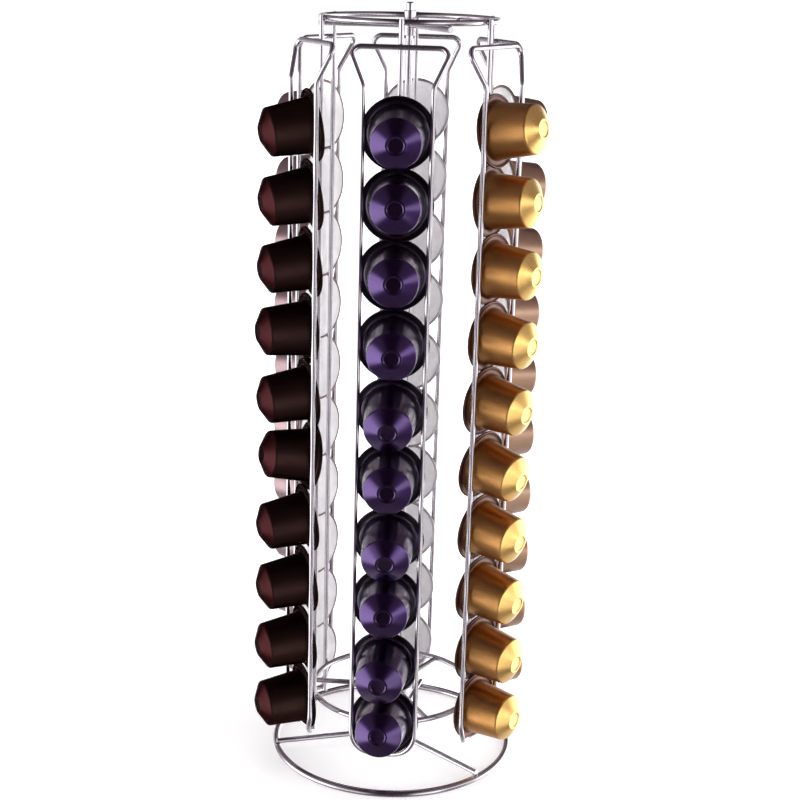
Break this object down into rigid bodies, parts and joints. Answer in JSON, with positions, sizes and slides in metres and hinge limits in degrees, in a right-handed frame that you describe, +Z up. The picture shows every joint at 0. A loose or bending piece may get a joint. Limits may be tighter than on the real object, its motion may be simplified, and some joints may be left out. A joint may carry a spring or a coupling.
{
  "type": "revolving coffee capsule rack",
  "caption": "Revolving chrome wire tower that holds coffee capsules by their flanges in upright columns around a central pole.",
  "frame": {"origin": "on the pole's axis, on the floor under the base ring", "axes": "+Z up along the pole; -Y through the violet column, which faces the front"},
  "size_m": [0.1472, 0.165, 0.4121],
  "materials": {
    "chrome_wire": "bright plated steel wire",
    "brushed_steel": "fine turned steel",
    "capsule_violet": "satin coloured lacquer over drawn aluminium",
    "capsule_gold": "satin coloured lacquer over drawn aluminium",
    "capsule_caramel": "satin coloured lacquer over drawn aluminium",
    "capsule_silver": "satin coloured lacquer over drawn aluminium",
    "capsule_rose": "satin coloured lacquer over drawn aluminium",
    "capsule_cocoa": "satin coloured lacquer over drawn aluminium"
  },
  "bodies": {
    "base": {"base_ring": "chrome_wire", "base_leg_1": "chrome_wire", "base_leg_2": "chrome_wire", "base_leg_3": "chrome_wire", "base_hub": "chrome_wire", "center_pole": "chrome_wire", "thrust_washer": "brushed_steel", "stop_collar": "brushed_steel"},
    "carousel": {"lower_ring": "chrome_wire", "upper_ring": "chrome_wire", "lower_hub": "brushed_steel", "upper_sleeve": "chrome_wire", "lower_spoke_1": "chrome_wire", "lower_spoke_2": "chrome_wire", "lower_spoke_3": "chrome_wire", "upper_spoke_1": "chrome_wire", "upper_spoke_2": "chrome_wire", "upper_spoke_3": "chrome_wire", "back_wire_violet": "chrome_wire", "back_wire_gold": "chrome_wire", "back_wire_caramel": "chrome_wire", "back_wire_silver": "chrome_wire", "back_wire_rose": "chrome_wire", "back_wire_cocoa": "chrome_wire", "rack_violet": "chrome_wire", "rack_gold": "chrome_wire", "rack_caramel": "chrome_wire", "rack_silver": "chrome_wire", "rack_rose": "chrome_wire", "rack_cocoa": "chrome_wire"},
    "violet_stack": {"capsules_violet_2_to_3": "capsule_violet", "capsules_violet_4_to_5": "capsule_violet", "capsules_violet_6_to_7": "capsule_violet", "capsules_violet_8_to_10": "capsule_violet"},
    "violet_top": {"capsule_violet_1": "capsule_violet"},
    "gold_stack": {"capsules_gold_2_to_3": "capsule_gold", "capsules_gold_4_to_5": "capsule_gold", "capsules_gold_6_to_7": "capsule_gold", "capsules_gold_8_to_10": "capsule_gold"},
    "gold_top": {"capsule_gold_1": "capsule_gold"},
    "caramel_stack": {"capsules_caramel_2_to_3": "capsule_caramel", "capsules_caramel_4_to_5": "capsule_caramel", "capsules_caramel_6_to_7": "capsule_caramel", "capsules_caramel_8_to_10": "capsule_caramel"},
    "caramel_top": {"capsule_caramel_1": "capsule_caramel"},
    "silver_stack": {"capsules_silver_2_to_3": "capsule_silver", "capsules_silver_4_to_5": "capsule_silver", "capsules_silver_6_to_7": "capsule_silver", "capsules_silver_8_to_10": "capsule_silver"},
    "silver_top": {"capsule_silver_1": "capsule_silver"},
    "rose_stack": {"capsules_rose_2_to_3": "capsule_rose", "capsules_rose_4_to_5": "capsule_rose", "capsules_rose_6_to_7": "capsule_rose", "capsules_rose_8_to_10": "capsule_rose"},
    "rose_top": {"capsule_rose_1": "capsule_rose"},
    "cocoa_stack": {"capsules_cocoa_2_to_3": "capsule_cocoa", "capsules_cocoa_4_to_5": "capsule_cocoa", "capsules_cocoa_6_to_7": "capsule_cocoa", "capsules_cocoa_8_to_10": "capsule_cocoa"},
    "cocoa_top": {"capsule_cocoa_1": "capsule_cocoa"}
  },
  "joints": [
    {"name": "carousel_spin", "type": "hinge", "parent": "base", "child": "carousel", "pos_m": [0, 0, 0.0339], "axis": [0, 0, 1], "continuous": true},
    {"name": "violet_stack_lift", "type": "slide", "parent": "carousel", "child": "violet_stack", "axis": [0, 0, 1], "range_m": [0, 0.0095]},
    {"name": "violet_top_lift", "type": "slide", "parent": "violet_stack", "child": "violet_top", "axis": [0, 0, 1], "range_m": [0, 0.0095]},
    {"name": "gold_stack_lift", "type": "slide", "parent": "carousel", "child": "gold_stack", "axis": [0, 0, 1], "range_m": [0, 0.0095]},
    {"name": "gold_top_lift", "type": "slide", "parent": "gold_stack", "child": "gold_top", "axis": [0, 0, 1], "range_m": [0, 0.0095]},
    {"name": "caramel_stack_lift", "type": "slide", "parent": "carousel", "child": "caramel_stack", "axis": [0, 0, 1], "range_m": [0, 0.0095]},
    {"name": "caramel_top_lift", "type": "slide", "parent": "caramel_stack", "child": "caramel_top", "axis": [0, 0, 1], "range_m": [0, 0.0095]},
    {"name": "silver_stack_lift", "type": "slide", "parent": "carousel", "child": "silver_stack", "axis": [0, 0, 1], "range_m": [0, 0.0095]},
    {"name": "silver_top_lift", "type": "slide", "parent": "silver_stack", "child": "silver_top", "axis": [0, 0, 1], "range_m": [0, 0.0095]},
    {"name": "rose_stack_lift", "type": "slide", "parent": "carousel", "child": "rose_stack", "axis": [0, 0, 1], "range_m": [0, 0.0095]},
    {"name": "rose_top_lift", "type": "slide", "parent": "rose_stack", "child": "rose_top", "axis": [0, 0, 1], "range_m": [0, 0.0095]},
    {"name": "cocoa_stack_lift", "type": "slide", "parent": "carousel", "child": "cocoa_stack", "axis": [0, 0, 1], "range_m": [0, 0.0095]},
    {"name": "cocoa_top_lift", "type": "slide", "parent": "cocoa_stack", "child": "cocoa_top", "axis": [0, 0, 1], "range_m": [0, 0.0095]}
  ]
}
